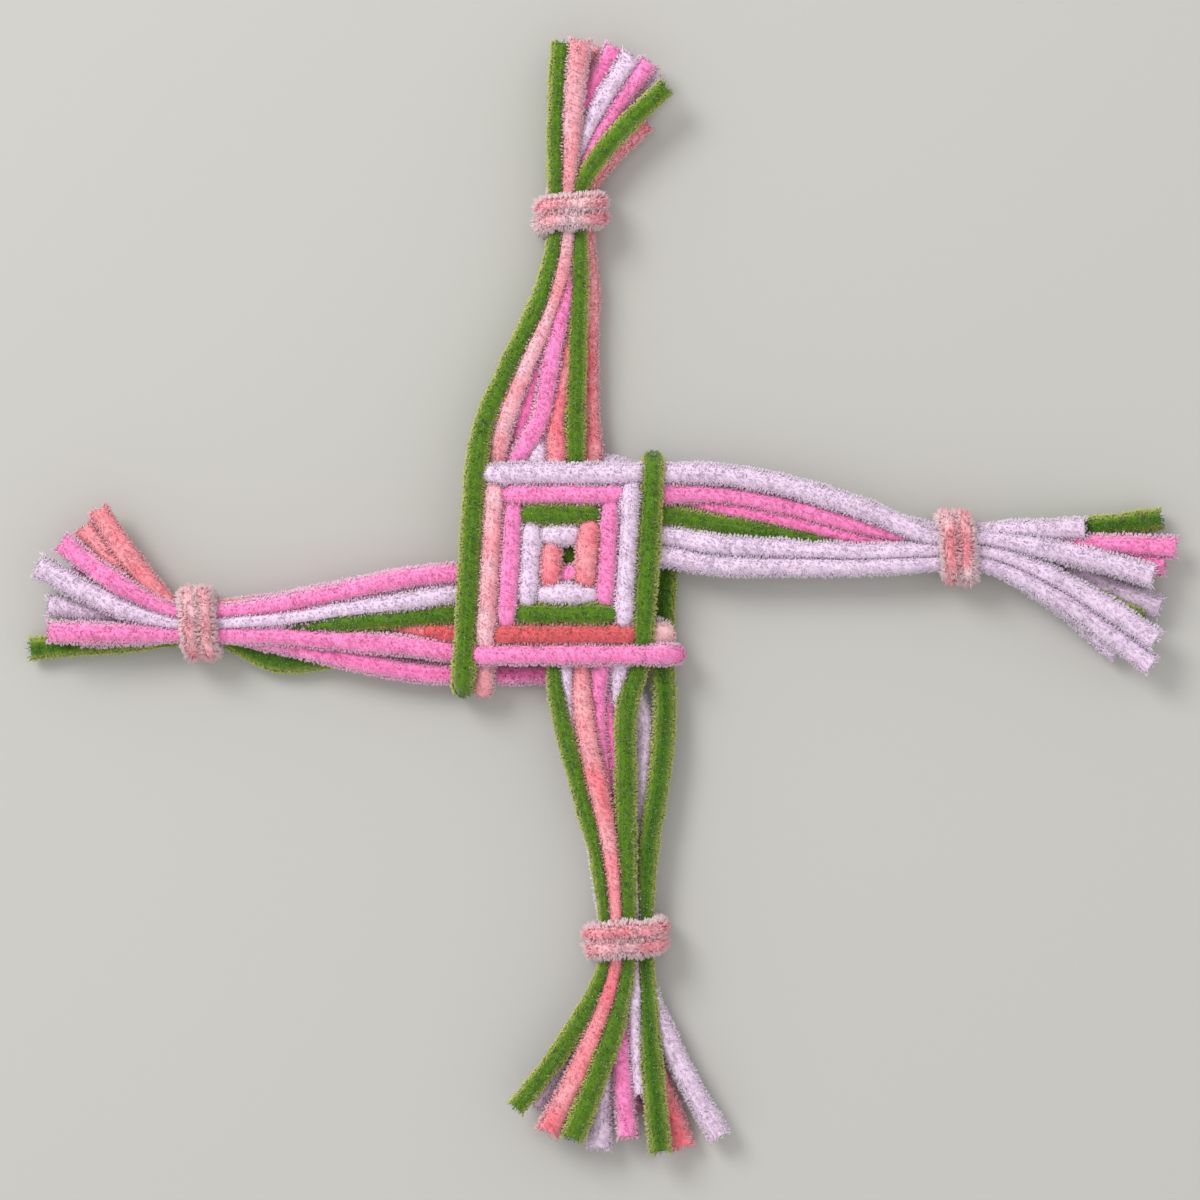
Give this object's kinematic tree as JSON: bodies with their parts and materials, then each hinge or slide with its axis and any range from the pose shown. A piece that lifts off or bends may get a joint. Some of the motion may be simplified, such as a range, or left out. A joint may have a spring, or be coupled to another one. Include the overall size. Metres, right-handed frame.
{
  "type": "woven cross ornament",
  "caption": "Windmill-shaped folk cross woven from folded chenille stems round a square middle, each arm bound by a wound tie before its tufted ends fan out.",
  "frame": {"origin": "under the middle of the weave, on the plane of the flats that the ties rest on", "axes": "+X along the right arm, +Y along the top arm, +Z out of the front"},
  "size_m": [0.252, 0.2437, 0.0124],
  "materials": {
    "green_pile": "soft fuzzy chenille pile, leaf green",
    "pink_pile": "soft fuzzy chenille pile, hot pink",
    "coral_pile": "soft fuzzy chenille pile, coral fading to pale pink",
    "lilac_pile": "soft fuzzy chenille pile, pale lilac",
    "tie_pile": "soft fuzzy chenille pile, pale coral"
  },
  "bodies": {
    "root": {"stem_00": "green_pile", "stem_01": "lilac_pile", "stem_02": "lilac_pile", "stem_03": "pink_pile", "stem_04": "coral_pile", "stem_05": "lilac_pile", "stem_06": "coral_pile", "stem_07": "lilac_pile", "stem_08": "lilac_pile", "stem_09": "green_pile", "stem_10": "pink_pile", "stem_11": "green_pile", "stem_12": "pink_pile", "stem_13": "pink_pile", "stem_14": "lilac_pile", "stem_15": "coral_pile", "stem_16": "coral_pile", "stem_17": "lilac_pile", "stem_18": "green_pile", "stem_19": "pink_pile", "stem_20": "green_pile", "tie_right_arm": "tie_pile", "tie_bottom_arm": "tie_pile", "tie_left_arm": "tie_pile", "tie_top_arm": "tie_pile"}
  },
  "joints": []
}
